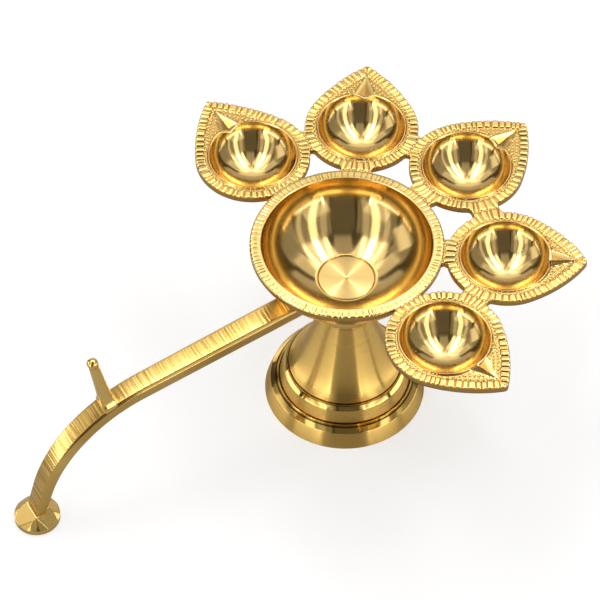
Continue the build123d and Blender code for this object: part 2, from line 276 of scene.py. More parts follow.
# Bowl: turned from a casting. The inside is part of an ellipse from the upright
# mouth to the flat floor; a neck and a rounded collar below seat on the washer.
RIM_TOP = 78.5
MOUTH = 29.1
BOWL_DEPTH = 19.82
BOWL_WALL = 2.2
BOWL_FLOOR = 60.0
STUD_SEAT = 58.0
SEAT_RADIUS = 9.85
BOWL_TONES = ((0.88, 0.60, 0.215), (0.94, 0.66, 0.26))
BOWL_GLOSS = 0.06
BOWL_LINES = 0.004
inner_turn = np.radians(np.linspace(-68.95, -1.5, 72))
bowl_inside = np.stack([MOUTH * np.cos(inner_turn), RIM_TOP + BOWL_DEPTH * np.sin(inner_turn)], axis=-1)
outer_turn = np.radians(np.linspace(-7.0, -62.6, 60))
bowl_outside = np.stack(
    [(MOUTH + BOWL_WALL) * np.cos(outer_turn), RIM_TOP + (BOWL_DEPTH + BOWL_WALL) * np.sin(outer_turn)],
    axis=-1,
)
collar_turn = np.radians(np.linspace(90, -90, 18))
bowl_collar = np.stack([9.6 + 0.8 * np.cos(collar_turn), 45.5 + 2.5 * np.sin(collar_turn)], axis=-1)
neck_top = bowl_outside[-1]
bowl_profile = np.concatenate(
    [
        [(STUD_BORE, STUD_SEAT), (SEAT_RADIUS, STUD_SEAT)],
        [(SEAT_RADIUS, BOWL_FLOOR - 0.3), (SEAT_RADIUS + 0.25, BOWL_FLOOR)],
        bowl_inside,
        curve_points((MOUTH, RIM_TOP - 0.3), (MOUTH, RIM_TOP), (MOUTH + 0.35, RIM_TOP), 5),
        [(30.0, RIM_TOP - 0.1), (30.0, RIM_TOP - 2.3)],
        bowl_outside,
        curve_points(neck_top, (8.9, neck_top[1] - 2.6), (8.8, 51.0), 14)[1:],
        [(8.8, 48.05)],
        bowl_collar,
        [(STUD_BORE, 43.0)],
    ]
)
bowl = lathe("bowl_turned", bowl_profile, sharp_deg=35)
bowl.data.materials.append(turned_brass("bowl brass", (0, 0), BOWL_GLOSS, BOWL_LINES, BOWL_TONES))
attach(bowl, "top")
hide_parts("bowl")

# Bowl rim: the flat ring round the mouth, crossed by fine chased ribs, with an
# outer edge that the chasing has left uneven.
RIM_STEPS = 1800
RIM_RIBS = 112
RIM_GROOVE = 0.10
RIM_ROWS = (
    # radius, height below the top, share of the rib's height, share of its nick
    (29.5, 0.04, 0.0, 0.0),
    (29.7, 0.02, 0.5, 0.0),
    (29.95, 0.04, 1.0, 0.0),
    (30.8, 0.06, 1.0, 0.0),
    (31.7, 0.06, 1.0, 0.0),
    (32.45, 0.08, 1.0, 0.4),
    (32.8, 0.18, 1.0, 0.9),
    (32.98, 0.42, 0.8, 1.0),
    (33.0, 0.9, 0.3, 0.7),
    (33.0, 2.2, 0.0, 0.2),
    (32.8, 2.6, 0.0, 0.0),
    (30.4, 2.6, 0.0, 0.0),
    (29.5, 2.2, 0.0, 0.0),
)


def rib_phase(count, steps, spread, chance):
    """Rib positions round a closed edge: rib widths vary at random about their
    mean, and each step gets its rib's number and its place across the rib."""
    widths = 1 + spread * (chance.random(count) - 0.5)
    edges = np.concatenate([[0], np.cumsum(widths)]) / widths.sum()
    place = np.linspace(0, 1, steps, endpoint=False)
    number = np.clip(np.searchsorted(edges, place, side="right") - 1, 0, count - 1)
    across = (place - edges[number]) / (edges[number + 1] - edges[number])
    return number, across


def ease(share):
    """Smooth step from 0 to 1, level at both ends."""
    return share * share * (3 - 2 * share)


def block(across, groove):
    """Height across a rib, 0 in the groove and 1 on its flat, with soft shoulders."""
    return ease(np.clip(np.minimum(across, 1 - across) / groove, 0, 1))


def rim_surface(chance):
    """The rim as a closed ring: one section goes round the axis, and its rows sink
    in the grooves and draw in at the edge by each row's share of the ribs."""
    number, across = rib_phase(RIM_RIBS, RIM_STEPS, 0.9, chance)
    tops = chance.random(RIM_RIBS)[number]
    tilt = (chance.random(RIM_RIBS)[number] - 0.5) * (across - 0.5)
    lines = np.convolve(chance.normal(size=RIM_STEPS), np.ones(3) / 3, mode="same")
    height = -RIM_GROOVE * (1 - block(across, 0.15)) - 0.02 * tops + 0.05 * tilt
    height = height - 0.004 * np.abs(lines)
    nick = 0.03 * (1 - block(across, 0.2)) + 0.03 * tops
    turn = np.linspace(0, 2 * np.pi, RIM_STEPS, endpoint=False)[:, None]
    rows = np.array(RIM_ROWS)[None]
    radius = rows[..., 0] - nick[:, None] * rows[..., 3]
    z = np.minimum(RIM_TOP - rows[..., 1] + height[:, None] * rows[..., 2], RIM_TOP)
    return np.stack([radius * np.cos(turn), radius * np.sin(turn), z], axis=-1)


def chased_brass(name):
    """Brass worked with punch and file: fine uneven scratches from noise, bright on
    the high places, and a painted shade that turns the tone dark brown below the
    rib tops, deepest in the grooves and on the sides and undersides."""
    shader = Shader(name)
    place = shader.node("TexCoord", None, None, "Object")
    z = shader.node("SeparateXYZ", None, {0: place}, "Z")
    fine = shader.noise(place, 2200.0, 2.0)
    broad = shader.noise(place, 380.0, 2.0)
    drift = shader.noise(place, 60.0, 2.0)
    normal = shader.node(
        "Bump", None, {"Height": fine * 0.5 + broad, "Strength": 1.0, "Distance": 0.008 * MM}, "Normal"
    )
    polish = shader.mix(drift, (0.90, 0.625, 0.21, 1), (0.955, 0.685, 0.255, 1))
    # Painted shade: the tone goes over to dark brown the lower a place lies below the rib tops.
    unshaded = shader.node(
        "MapRange",
        {"interpolation_type": "SMOOTHSTEP"},
        {"Value": z, "From Min": (RIM_TOP - 0.70) * MM, "From Max": (RIM_TOP - 0.34) * MM},
    )
    tone = shader.mix(unshaded, (0.54, 0.31, 0.08, 1), polish)
    roughness = 0.11 + broad * 0.09 + (1.0 - unshaded) * 0.10
    return shader.brass(tone, roughness, normal)


chased = chased_brass("chased brass")
rim = surface("bowl_rim_chased", rim_surface(np.random.default_rng(7)))
rim.data.materials.append(chased)
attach(rim, "top")
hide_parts("bowl")

# Centre stud: its disc head lies in the bowl's floor with a fine groove round
# it and a centre mark from the lathe; its shank screws into the pedestal.
STUD_HEAD = 9.7
STUD_SHANK = 4.0
STUD_GLOSS = 0.18
stud_profile = np.array(
    [
        (0.0, BOWL_FLOOR - 0.25),
        (0.35, BOWL_FLOOR - 0.05),
        (0.9, BOWL_FLOOR),
        (4.0, BOWL_FLOOR - 0.04),
        (9.0, BOWL_FLOOR),
        (9.45, BOWL_FLOOR - 0.05),
        (STUD_HEAD, BOWL_FLOOR - 0.4),
        (STUD_HEAD, STUD_SEAT),
        (STUD_SHANK, STUD_SEAT),
        (STUD_SHANK, 29.6),
        (3.6, 29.2),
        (0.0, 29.2),
    ]
)
stud = lathe("centre_stud_turned", stud_profile)
stud.data.materials.append(turned_brass("stud brass", (0, 0), STUD_GLOSS, BOWL_LINES, BOWL_TONES))
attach(stud, "top")
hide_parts("centre_stud")

# Leaf cups: cast brass leaves, each with a dished and polished wick cup, a band
# of chased ribs along its edge, punched beads, and a V-shaped wick spout that
# runs from the cup towards the tip. They are set round the bowl by hand.
LEAVES = (
    # angle about the bowl, distance from the axis, bearing and reach of the tip, spout's jut
    (100.4, 51.4, 94.5, 30.4, 1.5),
    (55.6, 53.8, 56.6, 29.4, 1.3),
    (11.8, 54.5, 14.0, 29.2, 1.1),
    (-34.7, 53.7, -32.8, 27.9, 0.6),
    (-80.6, 52.1, -74.5, 28.8, 0.7),
)
LEAF_RADIUS = 19.9
LEAF_SHOULDER = np.radians(62.0)
LEAF_THICKNESS = 2.8
TIP_ROUND = 0.42
BAND = 3.35
LIP = 15.7
CUP = 15.1
CUP_DEPTH = 10.0
CUP_FLOOR = 18.0
CUP_TURN = np.radians(40.0)
CUP_WALL = 1.8
SPOUT_TIP = 25.0
SPOUT_START = 13.1
SPOUT_HALF = 4.75
SPOUT_DEPTH = 1.4
RIM_EDGE = 33.3
SEAM = 0.15
BOWL_LUG = 4.2
LEAF_LUG = 3.8
LUG_FADE = 1.6
FIELD_DROP = 0.50
LIP_DROP = 0.12
GROOVE_DROP = 0.60
RIB_HEIGHT = 0.55
RIB_UNEVEN = 0.08
RIB_TILT = 0.22
EDGE_ROUND = 0.22
BEAD_ROW = 0.95
BEAD_COUNT = 58
BEAD_BASE = 0.53
BEAD_SIDES = 8
BEAD_FLAT = 0.75
BEAD_LEAST = 0.56
BEAD_SPREAD = 0.12
TIP_ROWS = (4.1, 5.6)
LEAF_STEPS = 1080
LEAF_RIBS = 62
CUP_STEPS = 360


def leaf_places(index):
    """Cup centre, direction of the tip and direction across the leaf, all in the
    plane of the leaves."""
    angle, reach, bearing = LEAVES[index][:3]
    centre = reach * np.array([np.cos(np.radians(angle)), np.sin(np.radians(angle))])
    ahead = np.array([np.cos(np.radians(bearing)), np.sin(np.radians(bearing))])
    aside = np.array([-ahead[1], ahead[0]])
    return centre, ahead, aside


def leaf_edge(index):
    """Edge of a leaf in its own axes, evenly spaced from the tip round to the tip:
    a circle drawn out to a tip by two larger arcs that leave it at the shoulders,
    with the outward direction at each place."""
    tip = LEAVES[index][3]
    growth = (tip**2 - LEAF_RADIUS**2) / (2 * LEAF_RADIUS - 2 * tip * np.cos(LEAF_SHOULDER))
    side_radius = LEAF_RADIUS + growth
    side_x = -growth * np.cos(LEAF_SHOULDER)
    side_y = -growth * np.sin(LEAF_SHOULDER)
    tip_turn = np.arctan2(-side_y, tip - side_x)
    side = side_radius * (LEAF_SHOULDER - tip_turn)
    body = LEAF_RADIUS * (2 * np.pi - 2 * LEAF_SHOULDER)
    run = (np.arange(LEAF_STEPS) + 0.5) / LEAF_STEPS * (2 * side + body)
    first = np.minimum(run, side) / side_radius
    middle = np.clip(run - side, 0, body) / LEAF_RADIUS
    last = np.maximum(run - side - body, 0) / side_radius
    turn = tip_turn + first + middle + last
    outward = np.stack([np.cos(turn), np.sin(turn)], axis=-1)
    on_first = (run < side)[:, None]
    on_last = (run > side + body)[:, None]
    edge = LEAF_RADIUS * outward
    edge = np.where(on_first, np.array([side_x, side_y]) + side_radius * outward, edge)
    edge = np.where(on_last, np.array([side_x, -side_y]) + side_radius * outward, edge)
    short = tip - np.hypot(tip - edge[:, 0], TIP_ROUND)
    edge = np.stack([np.where(edge[:, 0] > LEAF_RADIUS * 0.5, short, edge[:, 0]), edge[:, 1]], axis=-1)
    return edge, outward


def leaf_room(index, edge, outward):
    """How far each place on the edge may move outwards to meet the bowl's rim or
    the seam with a neighbour, where a lug reaches over to it, and how far it has
    to move back where the leaf was filed to fit."""
    centre, ahead, aside = leaf_places(index)
    world = centre + edge[:, :1] * ahead + edge[:, 1:] * aside
    heading = outward[:, :1] * ahead + outward[:, 1:] * aside
    towards = -np.sum(world * heading, axis=1)
    miss = np.sum(world * world, axis=1) - towards**2
    rim_room = towards - np.sqrt(np.maximum(RIM_EDGE**2 - miss, 0))
    rim_room = np.where((miss < RIM_EDGE**2) & (towards > 0), rim_room, 99.0)
    to_bowl = -centre / np.linalg.norm(centre)
    off_line = np.abs(world[:, 0] * to_bowl[1] - world[:, 1] * to_bowl[0])
    fade = 1 - ease(np.clip((off_line - BOWL_LUG) / LUG_FADE, 0, 1))
    reach = np.where(rim_room < 6, np.maximum(rim_room, 0) * fade, 0)
    cut = np.minimum(rim_room, 0)
    for other in (index - 1, index + 1):
        if 0 <= other < len(LEAVES):
            there = leaf_places(other)[0]
            gap = there - centre
            half = np.linalg.norm(gap) / 2 - SEAM
            gap = gap / np.linalg.norm(gap)
            forward = heading @ gap
            seam_room = (half - (world - centre) @ gap) / np.maximum(forward, 0.2)
            off_line = np.abs((world - centre) @ np.array([-gap[1], gap[0]]))
            fade = 1 - ease(np.clip((off_line - LEAF_LUG) / LUG_FADE, 0, 1))
            near = (forward > 0.5) & (seam_room < 5)
            reach = reach + np.where(near, np.maximum(seam_room, 0) * fade, 0)
            cut = np.where(forward > 0.2, np.minimum(cut, np.minimum(seam_room, 0)), cut)
    return reach + cut


def spout_drop(x, y):
    """Depth of the V-shaped spout at a place on the leaf, and the share of its
    depth: deepest on the centre line, falling to nothing at its sides and tip."""
    share = np.clip((SPOUT_TIP - x) / (SPOUT_TIP - SPOUT_START), 0, 1.2)
    half = np.maximum(SPOUT_HALF * share, 1e-6)
    inside = np.clip(1 - np.abs(y) / half, 0, 1) * (x > 0)
    return SPOUT_DEPTH * share * inside, inside


def leaf_plate(index, chance):
    """Plate of one leaf as a closed ring: lines run from the cup's lip across the
    field and the ribbed band to the edge, down it, and back underneath. Heights
    come from the rib each line lies on, the field's level and the spout."""
    centre, ahead, aside = leaf_places(index)
    edge, outward = leaf_edge(index)
    number, across = rib_phase(LEAF_RIBS, LEAF_STEPS, 0.8, chance)
    tops = chance.random(LEAF_RIBS)[number]
    tilt = (chance.random(LEAF_RIBS)[number] - 0.5) * (across - 0.5)
    flat = block(across, 0.18) * (0.94 + 0.06 * np.cos(4 * np.pi * across))
    room = leaf_room(index, edge, outward)
    nick = (0.20 * (1 - flat) + 0.14 * tops) * (np.abs(room) < 0.02)
    band = BAND * (0.94 + 0.12 * chance.random(LEAF_RIBS)[number])
    inner = edge - outward * band[:, None]
    crossed = np.sign(inner[:, 1]) != np.sign(edge[:, 1])
    tipward = edge[:, 0] > LEAF_RADIUS * 0.5
    shorten = np.where(
        crossed & tipward, np.abs(edge[:, 1]) / np.maximum(np.abs(outward[:, 1]), 1e-6), band
    )
    inner = edge - outward * np.minimum(band, shorten)[:, None]
    inner_radius = np.linalg.norm(inner, axis=1)
    inner = inner * (np.maximum(inner_radius, LIP + 0.35) / inner_radius)[:, None]
    lip = inner / np.linalg.norm(inner, axis=1)[:, None] * LIP
    outer = edge + outward * (room - nick)[:, None]
    rows = []
    for t in np.linspace(0, 1, 10):
        spot = lip * (1 - t) + inner * t
        drop, inside = spout_drop(spot[:, 0], spot[:, 1])
        field = FIELD_DROP - (FIELD_DROP - LIP_DROP) * np.clip(1 - t / 0.15, 0, 1)
        rows.append((spot, -np.where(inside > 0, np.minimum(field, LIP_DROP) + drop, field)))
    for t in (0.06, 0.10, 0.15, 0.3, 0.5, 0.7, 0.85, 0.93, 0.97, 1.0):
        spot = inner * (1 - t) + outer * t
        end = np.clip((1 - t) / 0.09, 0, 1)
        rise = flat * ease(np.clip(t / 0.12, 0, 1))
        height = -GROOVE_DROP + (RIB_HEIGHT - RIB_UNEVEN * tops + RIB_TILT * tilt) * rise
        height = height - EDGE_ROUND * (1 - end) ** 2
        drop, inside = spout_drop(spot[:, 0], spot[:, 1])
        height = np.where(inside > 0, np.minimum(height, -0.1 - drop), height)
        rows.append((spot, np.minimum(height, -0.01)))
    side = edge + outward * room[:, None]
    rows.append((side * 0.3 + outer * 0.7, np.full(LEAF_STEPS, -0.85)))
    rows.append((side, np.full(LEAF_STEPS, -1.3)))
    rows.append((side, np.full(LEAF_STEPS, 0.25 - LEAF_THICKNESS)))
    rows.append((side - outward * 0.25, np.full(LEAF_STEPS, -LEAF_THICKNESS)))
    under = lip / LIP * (LIP + 0.9)
    rows.append((under, np.full(LEAF_STEPS, -LEAF_THICKNESS)))
    rows.append((lip, np.full(LEAF_STEPS, 0.3 - LEAF_THICKNESS)))
    spots = np.stack([row[0] for row in rows], axis=1)
    heights = np.stack([row[1] for row in rows], axis=1)
    place = centre + spots[..., :1] * ahead + spots[..., 1:] * aside
    return np.concatenate([place, RIM_TOP + heights[..., None]], axis=-1)


def cup_shell(index):
    """Cup of one leaf: a floor arc tangent to a wall arc, turned about the cup's
    axis, up to a rounded lip that dips and juts inwards where the spout starts,
    and the same arcs a wall further out as the underside."""
    centre, ahead, aside = leaf_places(index)
    jut = LEAVES[index][4]
    turn = np.linspace(0, 2 * np.pi, CUP_STEPS, endpoint=False) + np.pi / CUP_STEPS
    lip_x = LIP * np.cos(turn)
    lip_y = LIP * np.sin(turn)
    drop, inside = spout_drop(lip_x, lip_y)
    turn_reach = CUP_FLOOR * np.sin(CUP_TURN)
    turn_rise = CUP_FLOOR * (1 - np.cos(CUP_TURN))
    mouth_slope = 2 * np.arctan2(CUP_DEPTH - turn_rise, CUP - turn_reach) - CUP_TURN
    curve = (CUP - turn_reach) / (np.sin(mouth_slope) - np.sin(CUP_TURN))
    floor_height = CUP_FLOOR - CUP_DEPTH
    wall_reach = (CUP_FLOOR - curve) * np.sin(CUP_TURN)
    wall_height = floor_height - (CUP_FLOOR - curve) * np.cos(CUP_TURN)
    floor_slope = np.linspace(0, CUP_TURN, 26)
    wall_slope = np.linspace(CUP_TURN, mouth_slope, 26)[1:]
    radius = np.concatenate([CUP_FLOOR * np.sin(floor_slope), wall_reach + curve * np.sin(wall_slope)])
    height = np.concatenate(
        [floor_height - CUP_FLOOR * np.cos(floor_slope), wall_height - curve * np.cos(wall_slope)]
    )
    drop = drop[:, None]
    inside = inside[:, None]
    top = -0.30 - drop - 0.5 * inside
    inner_height = np.minimum(height[None], top)
    inner_radius = np.broadcast_to(radius[None], inner_height.shape)
    mouth = CUP - jut * inside
    lip_radius = np.concatenate([mouth, mouth + 0.02, mouth + 0.12, mouth + 0.3], axis=1)
    lip_height = np.concatenate([-0.30 - drop, -0.16 - drop, -0.05 - drop, -0.02 - drop], axis=1)
    ring = np.ones_like(drop)
    outer_radius = np.concatenate([ring * (LIP - 0.2), ring * LIP, ring * LIP], axis=1)
    outer_height = np.concatenate([-0.04 - drop, -0.2 - drop, -0.6 - drop], axis=1)
    shell = curve + CUP_WALL
    shell_top = np.arccos((wall_height + 2.5) / shell)
    shell_slope = np.linspace(shell_top, CUP_TURN, 16)
    base_slope = np.linspace(CUP_TURN, 0, 16)[1:]
    shell_radius = np.concatenate(
        [wall_reach + shell * np.sin(shell_slope), (CUP_FLOOR + CUP_WALL) * np.sin(base_slope)]
    )
    shell_height = np.concatenate(
        [
            wall_height - shell * np.cos(shell_slope),
            floor_height - (CUP_FLOOR + CUP_WALL) * np.cos(base_slope),
        ]
    )
    under_radius = ring * shell_radius[None]
    under_height = ring * shell_height[None]
    all_radius = np.concatenate([inner_radius, lip_radius, outer_radius, under_radius], axis=1)
    all_height = np.concatenate([inner_height, lip_height, outer_height, under_height], axis=1)
    local_x = all_radius * np.cos(turn)[:, None]
    local_y = all_radius * np.sin(turn)[:, None]
    place = centre + local_x[..., None] * ahead + local_y[..., None] * aside
    return np.concatenate([place, RIM_TOP + all_height[..., None]], axis=-1), centre


def beads(spots, radii, base):
    """Punched beads: flattened domes, each a few rings and a closed base, worked
    out for all spots at once. Gives the points and the faces."""
    turn = np.linspace(0, 2 * np.pi, BEAD_SIDES, endpoint=False)
    lift = np.radians([0, 28, 60])
    shape = np.stack(
        [
            np.outer(np.cos(lift), np.cos(turn)).ravel(),
            np.outer(np.cos(lift), np.sin(turn)).ravel(),
            np.repeat(BEAD_FLAT * np.sin(lift), BEAD_SIDES),
        ],
        axis=-1,
    )
    shape = np.concatenate([shape, [(0, 0, BEAD_FLAT), (0, 0, -0.3)]])
    ground = np.concatenate([spots, np.full((len(spots), 1), base)], axis=1)
    points = ground[:, None] + shape[None] * radii[:, None, None]
    step = np.arange(BEAD_SIDES)
    after = (step + 1) % BEAD_SIDES
    pole = np.full(BEAD_SIDES, len(shape) - 2)
    foot = np.full(BEAD_SIDES, len(shape) - 1)
    band = np.stack([step, after, after + BEAD_SIDES, step + BEAD_SIDES], -1)
    top = np.stack([step + 2 * BEAD_SIDES, after + 2 * BEAD_SIDES, pole, pole], -1)
    bottom = np.stack([after, step, foot, foot], -1)
    faces = np.concatenate([band, band + BEAD_SIDES, top, bottom])
    faces = faces[None] + len(shape) * np.arange(len(spots))[:, None, None]
    return points.reshape(-1, 3), faces.reshape(-1, 4)


def bead_places(index, chance):
    """Where the beads stand on a leaf: a row just outside the cup's lip, left out
    at the spout, and rows between the spout and the ribs near the tip."""
    centre, ahead, aside = leaf_places(index)
    edge, outward = leaf_edge(index)
    ring = np.linspace(0, 2 * np.pi, BEAD_COUNT, endpoint=False) + 0.04 * chance.random(BEAD_COUNT)
    lip_row = (LIP + BEAD_ROW) * np.stack([np.cos(ring), np.sin(ring)], axis=-1)
    lip_row = lip_row[spout_drop(lip_row[:, 0], lip_row[:, 1])[1] < 0.02]
    tip_rows = []
    for inset in TIP_ROWS:
        line = edge - outward * inset
        keep = (edge[:, 0] > 10) & (np.linalg.norm(line, axis=1) > LIP + 1.1)
        keep = keep & (line[:, 1] * edge[:, 1] > 0)
        keep = keep & (spout_drop(line[:, 0], line[:, 1])[1] < 0.001)
        row = line[keep]
        tip_rows.append(row[::13])
    spots = np.concatenate([lip_row] + tip_rows)
    radii = BEAD_LEAST + BEAD_SPREAD * chance.random(len(spots))
    place = centre + spots[:, :1] * ahead + spots[:, 1:] * aside
    return place, radii


def loose_mesh(name, points, faces):
    """Mesh of many small closed shapes from their points and faces, in which a
    face that names a point twice is a triangle."""
    mesh = bpy.data.meshes.new(name)
    lists = [list(dict.fromkeys(face)) for face in faces.tolist()]
    mesh.from_pydata((points * MM).tolist(), [], lists)
    work = bmesh.new()
    work.from_mesh(mesh)
    bmesh.ops.recalc_face_normals(work, faces=work.faces)
    work.to_mesh(mesh)
    work.free()
    mesh.shade_smooth()
    piece = bpy.data.objects.new(name, mesh)
    bpy.context.scene.collection.objects.link(piece)
    return piece


for index in range(len(LEAVES)):
    chance = np.random.default_rng(20 + index)
    node = f"leaf_cup_{index + 1}"
    plate = surface(f"leaf_{index + 1}_chased", leaf_plate(index, chance), sharp_deg=55)
    plate.data.materials.append(chased)
    cup_points, cup_centre = cup_shell(index)
    cup = surface(f"cup_{index + 1}_turned", cup_points, close_v=False, sharp_deg=50)
    cup_brass = turned_brass(f"cup {index + 1} brass", cup_centre, BOWL_GLOSS, BOWL_LINES, BOWL_TONES)
    cup.data.materials.append(cup_brass)
    spots, radii = bead_places(index, chance)
    bead_points, bead_faces = beads(spots, radii, RIM_TOP - BEAD_BASE)
    studs = loose_mesh(f"leaf_{index + 1}_beads", bead_points, bead_faces)
    studs.data.materials.append(chased)
    for piece, finish in ((plate, "chased_brass"), (cup, "turned_brass"), (studs, "chased_brass")):
        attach(piece, "top")
        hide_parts(node)

# Braze at the bowl and between the leaves: brass run into the seams and left as
# a row of small lumps, a little below the plates' tops.
SEAM_HALF = 0.75
SEAM_TOP = 0.12
SEAM_STEPS = 90
SEAM_LUMP = 1.15
BOWL_SEAM_HALF_ANGLE = 9.5
LEAF_SEAM_HALF = 4.9


def seam_strip(line, chance):
    """Braze along a line in the plane of the leaves: an upright rounded section is
    carried along it, and its width and top follow a row of lumps, each half a
    sine wave, that closes at both ends."""
    step = np.linalg.norm(np.diff(line, axis=0), axis=1)
    run = np.concatenate([[0], np.cumsum(step)])
    along = np.gradient(line, axis=0)
    along = along / np.linalg.norm(along, axis=1, keepdims=True)
    aside = np.stack([-along[:, 1], along[:, 0]], axis=-1)
    count = max(int(round(run[-1] / SEAM_LUMP)), 2)
    lump = np.abs(np.sin(np.pi * count * run / run[-1])) ** 0.6
    size = 0.8 + 0.4 * chance.random(count)[np.minimum((run / run[-1] * count).astype(int), count - 1)]
    swell = (0.45 + 0.55 * lump) * size
    swell[[0, -1]] = 0.02
    turn = np.linspace(0, 2 * np.pi, 16, endpoint=False)
    across = SEAM_HALF * swell[:, None] * np.cos(turn)
    middle = RIM_TOP - LEAF_THICKNESS / 2
    lift = LEAF_THICKNESS / 2 - SEAM_TOP - 0.35 * (1 - lump)
    rise = np.where(np.sin(turn) > 0, lift[:, None] * np.sin(turn), 1.2 * np.sin(turn))
    rise = rise * np.minimum(1, 3 * swell)[:, None]
    spot = line[:, None] + across[..., None] * aside[:, None]
    return np.concatenate([spot, (middle + rise)[..., None]], axis=-1)


for index in range(len(LEAVES)):
    chance = np.random.default_rng(40 + index)
    angle = LEAVES[index][0]
    sweep = np.linspace(angle - BOWL_SEAM_HALF_ANGLE, angle + BOWL_SEAM_HALF_ANGLE, SEAM_STEPS)
    sweep = np.radians(sweep)
    lines = {"bowl_braze": (RIM_EDGE - SEAM) * np.stack([np.cos(sweep), np.sin(sweep)], axis=-1)}
    if index + 1 < len(LEAVES):
        here = leaf_places(index)[0]
        there = leaf_places(index + 1)[0]
        across = (there - here) / np.linalg.norm(there - here)
        reach = np.linspace(-LEAF_SEAM_HALF, LEAF_SEAM_HALF, SEAM_STEPS)[:, None]
        lines["leaf_braze"] = (here + there) / 2 + reach * np.array([-across[1], across[0]])
    for kind, line in lines.items():
        seam = surface(f"{kind}_{index + 1}", seam_strip(line, chance), close_u=False, sharp_deg=70)
        seam.data.materials.append(chased)
        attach(seam, "top")
        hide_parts(f"{kind}_joints")

# Handle bar: a flat brass bar with bevelled top edges, bent down to a leg. It is
# filed across by hand, and its root is fitted to the bowl's underside.
BAR_START = np.array([-9.5, 59.5])
BAR_SLOPE = np.radians(9.0)
LEG_LEAN = np.radians(17.0)
BEND_CORNER = np.array([-109.6, 43.646])
BEND_RADIUS = 48.0
LEG_END = 5.6
BAR_HALF = 2.3
LEG_HALF = 1.8
BAR_BEVEL = 0.9
ROOT_HALF_WIDTH = 4.6
BAR_NARROWING = 0.8
BAR_REACH = 124.83
BAR_STEPS = 620
BAR_CORNER = 0.22
ROOT_INSET = 0.1
ROOT_SINK = 0.9
along = np.array([-np.cos(BAR_SLOPE), -np.sin(BAR_SLOPE)])
down = np.array([-np.sin(LEG_LEAN), -np.cos(LEG_LEAN)])
bend_turn = np.pi / 2 - LEG_LEAN - BAR_SLOPE
tangent = BEND_RADIUS * np.tan(bend_turn / 2)
straight_run = np.linalg.norm(BEND_CORNER - BAR_START) - tangent
bend_run = BEND_RADIUS * bend_turn
leg_run = (BEND_CORNER[1] - LEG_END) / np.cos(LEG_LEAN) - tangent
bar_run = straight_run + bend_run + leg_run
bend_start = BAR_START + along * straight_run
bend_centre = bend_start + BEND_RADIUS * np.array([-along[1], along[0]])


def bar_line(run):
    """Middle line of the bar: a straight run, an arc and a straight leg, given by
    the distance from the root. Gives the point and the direction upwards."""
    turn = np.clip(run - straight_run, 0, bend_run) / BEND_RADIUS + BAR_SLOPE
    ahead = np.stack([-np.cos(turn), -np.sin(turn)], axis=-1)
    above = np.stack([-np.sin(turn), np.cos(turn)], axis=-1)
    beyond = np.minimum(run - straight_run, 0) + np.maximum(run - straight_run - bend_run, 0)
    return bend_centre + BEND_RADIUS * above + beyond[..., None] * ahead, above


def bar_section(run):
    """Half thickness and half width of the bar at a distance from the root."""
    half = np.interp(run, [0, straight_run + bend_run / 2, bar_run], [BAR_HALF, BAR_HALF, LEG_HALF])
    reach = -bar_line(run)[0][..., 0]
    return half, ROOT_HALF_WIDTH - BAR_NARROWING / BAR_REACH * reach


def root_run(rise, aside, shrink):
    """Distance along the bar at which a line of it, at a rise and an offset to the
    side, meets the bowl's outer ellipsoid shrunk by a little."""
    wide = MOUTH + BOWL_WALL - shrink
    deep = BOWL_DEPTH + BOWL_WALL - shrink
    x = BAR_START[0] - rise * np.sin(BAR_SLOPE)
    z = BAR_START[1] + rise * np.cos(BAR_SLOPE) - RIM_TOP
    square = along[0] ** 2 / wide**2 + along[1] ** 2 / deep**2
    cross = x * along[0] / wide**2 + z * along[1] / deep**2
    left = (x * x + aside * aside) / wide**2 + z * z / deep**2 - 1
    return (-cross + np.sqrt(np.maximum(cross * cross - square * left, 0))) / square


def outline(half, width):
    """Section of the bar: a rectangle with its two top edges bevelled, and every
    corner a little rounded, as rise and offset to the side."""
    corners = np.array(
        [
            (-half, -width),
            (-half, width),
            (half - BAR_BEVEL, width),
            (half, width - BAR_BEVEL),
            (half, 0.0),
            (half, BAR_BEVEL - width),
            (half - BAR_BEVEL, -width),
        ]
    )
    return rounded(corners, BAR_CORNER)


def bar_surface(section):
    """The bar from the root to the leg's end: its section goes along the middle
    line, each of its lines starts where it meets the bowl, and the ends close."""
    start = root_run(section[:, 0], section[:, 1], ROOT_SINK)[None]
    run = start + (bar_run - start) * np.linspace(0, 1, BAR_STEPS)[:, None]
    half, width = bar_section(run)
    middle, above = bar_line(run)
    rise = section[None, :, 0] / BAR_HALF * half
    aside = section[None, :, 1] / (ROOT_HALF_WIDTH - ROOT_INSET) * width
    spot = middle + above * rise[..., None]
    points = np.stack([spot[..., 0], aside, spot[..., 1]], axis=-1)
    root_cap = np.broadcast_to(points[:1].mean(axis=1, keepdims=True), points[:1].shape)
    end_cap = np.broadcast_to(points[-1:].mean(axis=1, keepdims=True), points[-1:].shape)
    return np.concatenate([root_cap, points, end_cap])


root_outline = outline(BAR_HALF, ROOT_HALF_WIDTH - ROOT_INSET)
bar = surface("handle_bar_filed", bar_surface(root_outline), close_u=False, sharp_deg=32)


def mark_run(piece):
    """Stores each vertex's distance from the root in the attribute run: its
    projection on the straight parts, and its angle about the bend's centre."""
    places = np.empty(len(piece.data.vertices) * 3)
    piece.data.vertices.foreach_get("co", places)
    flat = places.reshape(-1, 3)[:, [0, 2]] / MM
    on_straight = (flat - BAR_START) @ along
    arm = flat - bend_centre
    turn = np.arctan2(-arm[:, 0], arm[:, 1]) - BAR_SLOPE
    on_leg = (flat - bar_line(np.array(straight_run + bend_run))[0]) @ down
    run = np.where(turn < 0, on_straight, straight_run + BEND_RADIUS * np.minimum(turn, bend_turn))
    run = np.where(turn > bend_turn, straight_run + bend_run + on_leg, run)
    piece.data.attributes.new("run", "FLOAT", "POINT").data.foreach_set("value", run * MM)


mark_run(bar)


